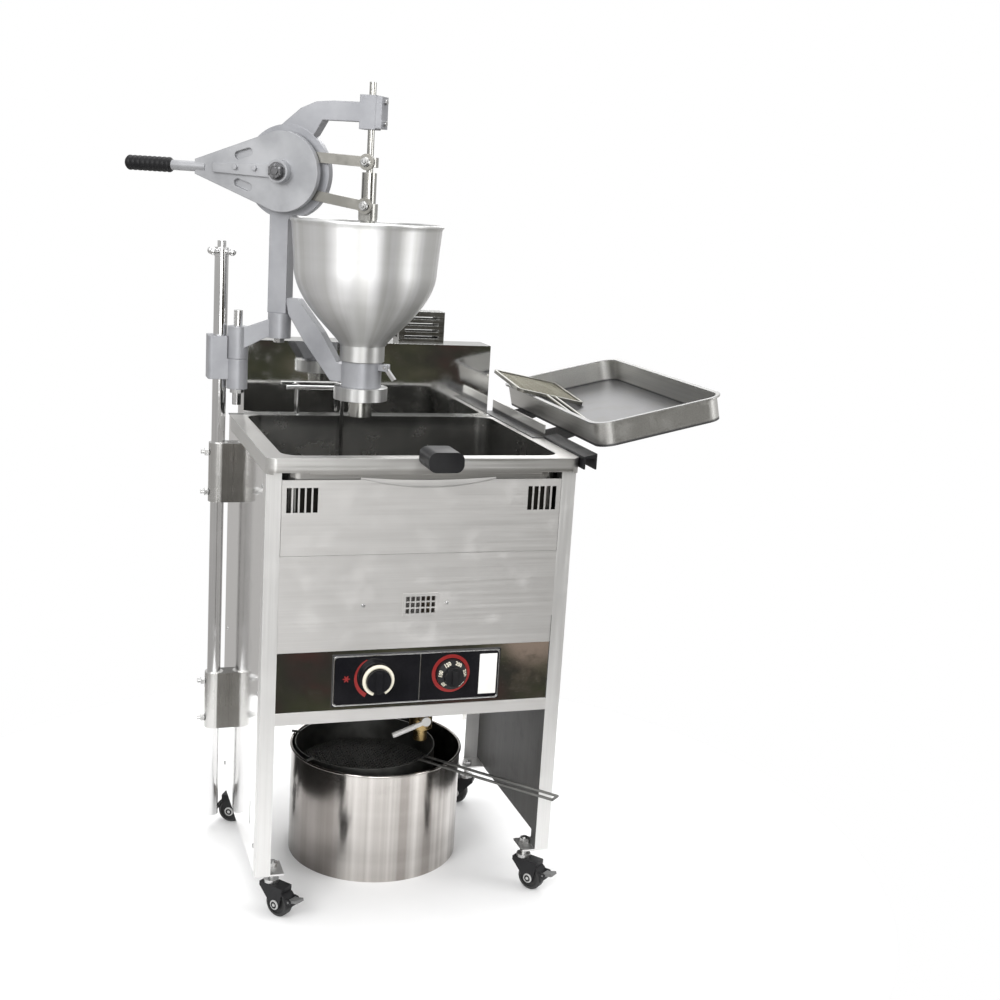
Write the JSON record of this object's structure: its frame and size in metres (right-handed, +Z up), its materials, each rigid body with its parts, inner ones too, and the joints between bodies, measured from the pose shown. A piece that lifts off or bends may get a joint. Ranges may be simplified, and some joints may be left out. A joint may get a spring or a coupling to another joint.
{
  "type": "donut fryer",
  "caption": "Gas donut fryer on casters with a hand-lever batter depositor on a swinging mast arm, side drain tray, lift-out screen and oil pot with strainer.",
  "frame": {"origin": "on the floor under the middle of the cabinet's side panels", "axes": "+Z up, +X to the viewer's right, front with the control panel towards -Y"},
  "size_m": [1.0141, 0.5875, 1.436],
  "materials": {
    "stainless": "brushed stainless steel sheet",
    "mirror_stainless": "mirror-polished stainless steel",
    "black_plastic": "matt black plastic",
    "black_gloss": "glossy black panel with a light frame",
    "cast_alloy": "satin cast aluminium",
    "brass_fittings": "plain brass fittings",
    "grey_plastic": "grey plastic",
    "caster_rubber": "grey rubber tread on a grey hub",
    "chrome_parts": "bright polished steel",
    "wire_steel": "drawn stainless wire",
    "burner_iron": "raw cast iron"
  },
  "bodies": {
    "cabinet": {"left_side_panel": "mirror_stainless", "right_side_panel": "stainless", "back_panel": "stainless", "cross_rails": "stainless", "lower_front_panel": "stainless", "grille": "grey_plastic", "control_fascia": "mirror_stainless", "control_plate": "black_gloss", "oil_tank": "stainless", "flue_box": "mirror_stainless", "flue_cap": "stainless", "burners": "burner_iron", "gas_pipes": "brass_fittings", "gas_valve": "brass_fittings", "thermostat_body": "grey_plastic", "thermostat_probe": "chrome_parts", "drain_pipe": "brass_fittings", "caster_stems": "chrome_parts", "mast_pole": "chrome_parts", "mast_clamps": "cast_alloy", "mast_bolts": "chrome_parts", "tray_hanger": "stainless", "tray_rest": "black_plastic"},
    "front_cover": {"upper_front_panel": "stainless"},
    "gas_control": {"gas_knob": "black_plastic"},
    "heat_control": {"thermostat_knob": "black_plastic"},
    "drain_tap": {"drain_lever": "wire_steel"},
    "screen": {"fry_screen": "wire_steel", "screen_grip": "black_plastic"},
    "caster_fl": {"caster_fork_fl": "black_plastic"},
    "wheel_fl": {"caster_wheel_fl": "caster_rubber"},
    "brake_fl": {"brake_pedal_fl": "grey_plastic"},
    "caster_fr": {"caster_fork_fr": "black_plastic"},
    "wheel_fr": {"caster_wheel_fr": "caster_rubber"},
    "brake_fr": {"brake_pedal_fr": "grey_plastic"},
    "caster_rl": {"caster_fork_rl": "black_plastic"},
    "wheel_rl": {"caster_wheel_rl": "caster_rubber"},
    "caster_rr": {"caster_fork_rr": "black_plastic"},
    "wheel_rr": {"caster_wheel_rr": "caster_rubber"},
    "carrier": {"mast_bracket": "cast_alloy", "hinge_pin": "chrome_parts"},
    "lift_handle": {"cross_handle": "chrome_parts", "lifting_screw": "chrome_parts"},
    "depositor": {"swing_arm": "cast_alloy", "depositor_frame": "cast_alloy", "guide_cap": "cast_alloy", "frame_screws": "chrome_parts", "hopper": "mirror_stainless", "dough_cylinder": "mirror_stainless"},
    "lever": {"lever_arm": "cast_alloy", "lever_grip": "black_plastic"},
    "rocker_up": {"upper_rocker": "stainless"},
    "rocker_low": {"lower_rocker": "stainless"},
    "plunger": {"plunger_rod": "chrome_parts"},
    "cutter": {"cutter_tube": "chrome_parts"},
    "latch": {"hopper_latch": "stainless"},
    "tray": {"drain_tray": "stainless"},
    "skimmer_body": {"skimmer": "wire_steel"},
    "pot": {"oil_pot": "stainless"},
    "strainer": {"pot_strainer": "wire_steel"}
  },
  "joints": [
    {"name": "front_cover_pull", "type": "slide", "parent": "cabinet", "child": "front_cover", "axis": [0, -1, 0], "range_m": [0, 0.06]},
    {"name": "gas_knob_turn", "type": "hinge", "parent": "cabinet", "child": "gas_control", "pos_m": [-0.072, -0.2161, 0.4395], "axis": [0, -1, 0], "range_deg": [0, 90]},
    {"name": "thermostat_knob_turn", "type": "hinge", "parent": "cabinet", "child": "heat_control", "pos_m": [0.062, -0.2161, 0.4395], "axis": [0, -1, 0], "range_deg": [0, 270]},
    {"name": "drain_lever_turn", "type": "hinge", "parent": "cabinet", "child": "drain_tap", "pos_m": [0.07, -0.0583, 0.286], "axis": [0, 1, 0], "range_deg": [0, 90]},
    {"name": "screen_lift", "type": "slide", "parent": "cabinet", "child": "screen", "axis": [0, 0, 1], "range_m": [0, 0.12]},
    {"name": "caster_fl_swivel", "type": "hinge", "parent": "cabinet", "child": "caster_fl", "pos_m": [-0.236, -0.181, 0.058], "axis": [0, 0, 1], "continuous": true},
    {"name": "wheel_fl_roll", "type": "hinge", "parent": "caster_fl", "child": "wheel_fl", "pos_m": [-0.22369, -0.19676, 0.024], "axis": [0.788, 0.6157, 0], "continuous": true},
    {"name": "brake_fl_press", "type": "hinge", "parent": "caster_fl", "child": "brake_fl", "pos_m": [-0.20491, -0.22079, 0.038], "axis": [0.788, 0.6157, 0], "range_deg": [0, 20]},
    {"name": "caster_fr_swivel", "type": "hinge", "parent": "cabinet", "child": "caster_fr", "pos_m": [0.236, -0.181, 0.058], "axis": [0, 0, 1], "continuous": true},
    {"name": "wheel_fr_roll", "type": "hinge", "parent": "caster_fr", "child": "wheel_fr", "pos_m": [0.24831, -0.19676, 0.024], "axis": [0.788, 0.6157, 0], "continuous": true},
    {"name": "brake_fr_press", "type": "hinge", "parent": "caster_fr", "child": "brake_fr", "pos_m": [0.26709, -0.22079, 0.038], "axis": [0.788, 0.6157, 0], "range_deg": [0, 20]},
    {"name": "caster_rl_swivel", "type": "hinge", "parent": "cabinet", "child": "caster_rl", "pos_m": [-0.236, 0.181, 0.058], "axis": [0, 0, 1], "continuous": true},
    {"name": "wheel_rl_roll", "type": "hinge", "parent": "caster_rl", "child": "wheel_rl", "pos_m": [-0.25332, 0.191, 0.024], "axis": [-0.5, -0.866, 0], "continuous": true},
    {"name": "caster_rr_swivel", "type": "hinge", "parent": "cabinet", "child": "caster_rr", "pos_m": [0.236, 0.181, 0.058], "axis": [0, 0, 1], "continuous": true},
    {"name": "wheel_rr_roll", "type": "hinge", "parent": "caster_rr", "child": "wheel_rr", "pos_m": [0.21868, 0.191, 0.024], "axis": [-0.5, -0.866, 0], "continuous": true},
    {"name": "carrier_lift", "type": "slide", "parent": "cabinet", "child": "carrier", "axis": [0, 0, 1], "range_m": [0, 0.06]},
    {"name": "lift_handle_turn", "type": "hinge", "parent": "cabinet", "child": "lift_handle", "pos_m": [-0.297, 0.165, 1.125], "axis": [0, 0, 1], "range_deg": [0, 2700]},
    {"name": "depositor_swing", "type": "hinge", "parent": "carrier", "child": "depositor", "pos_m": [-0.267, 0.149, 0.97], "axis": [0, 0, 1], "range_deg": [-60, 25]},
    {"name": "lever_press", "type": "hinge", "parent": "depositor", "child": "lever", "pos_m": [-0.18629, 0.11595, 1.276], "axis": [-0.5878, -0.809, 0], "range_deg": [-15, 25]},
    {"name": "upper_rocker_turn", "type": "hinge", "parent": "depositor", "child": "rocker_up", "pos_m": [-0.22027, 0.14063, 1.308], "axis": [-0.5878, -0.809, 0], "range_deg": [-7.5, 12.2]},
    {"name": "lower_rocker_turn", "type": "hinge", "parent": "depositor", "child": "rocker_low", "pos_m": [-0.21865, 0.13946, 1.252], "axis": [-0.5878, -0.809, 0], "range_deg": [-5.6, 9]},
    {"name": "plunger_stroke", "type": "slide", "parent": "depositor", "child": "plunger", "axis": [0, 0, 1], "range_m": [-0.0245, 0.041]},
    {"name": "cutter_stroke", "type": "slide", "parent": "depositor", "child": "cutter", "axis": [0, 0, 1], "range_m": [-0.018, 0.03]},
    {"name": "hopper_latch_swing", "type": "hinge", "parent": "depositor", "child": "latch", "pos_m": [-0.02522, -0.00108, 0.945], "axis": [-0.5878, -0.809, 0], "range_deg": [0, 70]},
    {"name": "tray_lift", "type": "slide", "parent": "cabinet", "child": "tray", "axis": [0, 0, 1], "range_m": [0, 0.1]},
    {"name": "skimmer_lift", "type": "slide", "parent": "tray", "child": "skimmer_body", "axis": [0, 0, 1], "range_m": [0, 0.08]},
    {"name": "pot_pull", "type": "slide", "parent": "cabinet", "child": "pot", "axis": [0, -1, 0], "range_m": [0, 0.45]},
    {"name": "strainer_lift", "type": "slide", "parent": "pot", "child": "strainer", "axis": [0, 0, 1], "range_m": [0, 0.04]}
  ],
  "couplings": [
    {"joint": "lift_handle_turn", "follows": "carrier_lift", "rad_per_m": 785.4},
    {"joint": "upper_rocker_turn", "follows": "lever_press", "ratio": 0.47},
    {"joint": "lower_rocker_turn", "follows": "lever_press", "ratio": 0.345},
    {"joint": "plunger_stroke", "follows": "lever_press", "m_per_rad": 0.0924},
    {"joint": "cutter_stroke", "follows": "lever_press", "m_per_rad": 0.0676}
  ]
}
